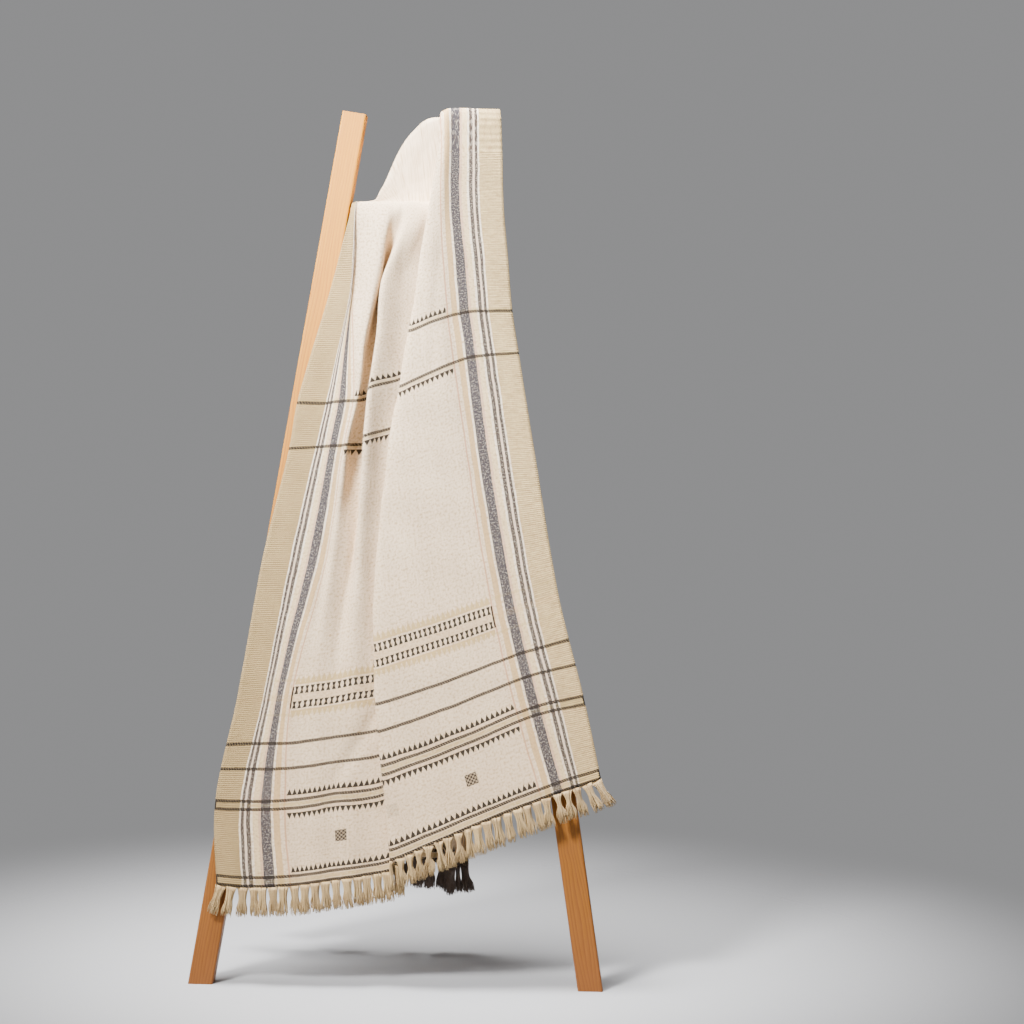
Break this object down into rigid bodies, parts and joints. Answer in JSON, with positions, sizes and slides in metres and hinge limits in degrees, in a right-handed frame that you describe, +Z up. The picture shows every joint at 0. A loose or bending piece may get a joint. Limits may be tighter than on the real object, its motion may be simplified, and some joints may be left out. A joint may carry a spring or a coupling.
{
  "type": "wool throw on a wooden ladder",
  "caption": "Woven wool throw with striped borders, patterned bands and tassel fringes, draped over the top rung of a plain tapering wooden ladder that leans on a wall.",
  "frame": {"origin": "middle of the footprint of the whole object, on the floor", "axes": "+X to the right of someone facing the throw, +Y back towards the wall, +Z up"},
  "size_m": [0.7202, 0.3302, 1.4884],
  "materials": {
    "pine": "planed softwood, clear oiled, satin",
    "wool": "cream plain-woven wool with grey and tan striped borders and dark patterned bands",
    "pale_yarn": "beige wool yarn tassels",
    "dark_yarn": "dark brown wool yarn tassels"
  },
  "bodies": {
    "root": {"left_rail": "pine", "right_rail": "pine", "rung_1": "pine", "rung_2": "pine", "rung_3": "pine", "rung_4": "pine", "throw": "wool", "front_fringe": "pale_yarn", "back_fringe": "dark_yarn"}
  },
  "joints": []
}
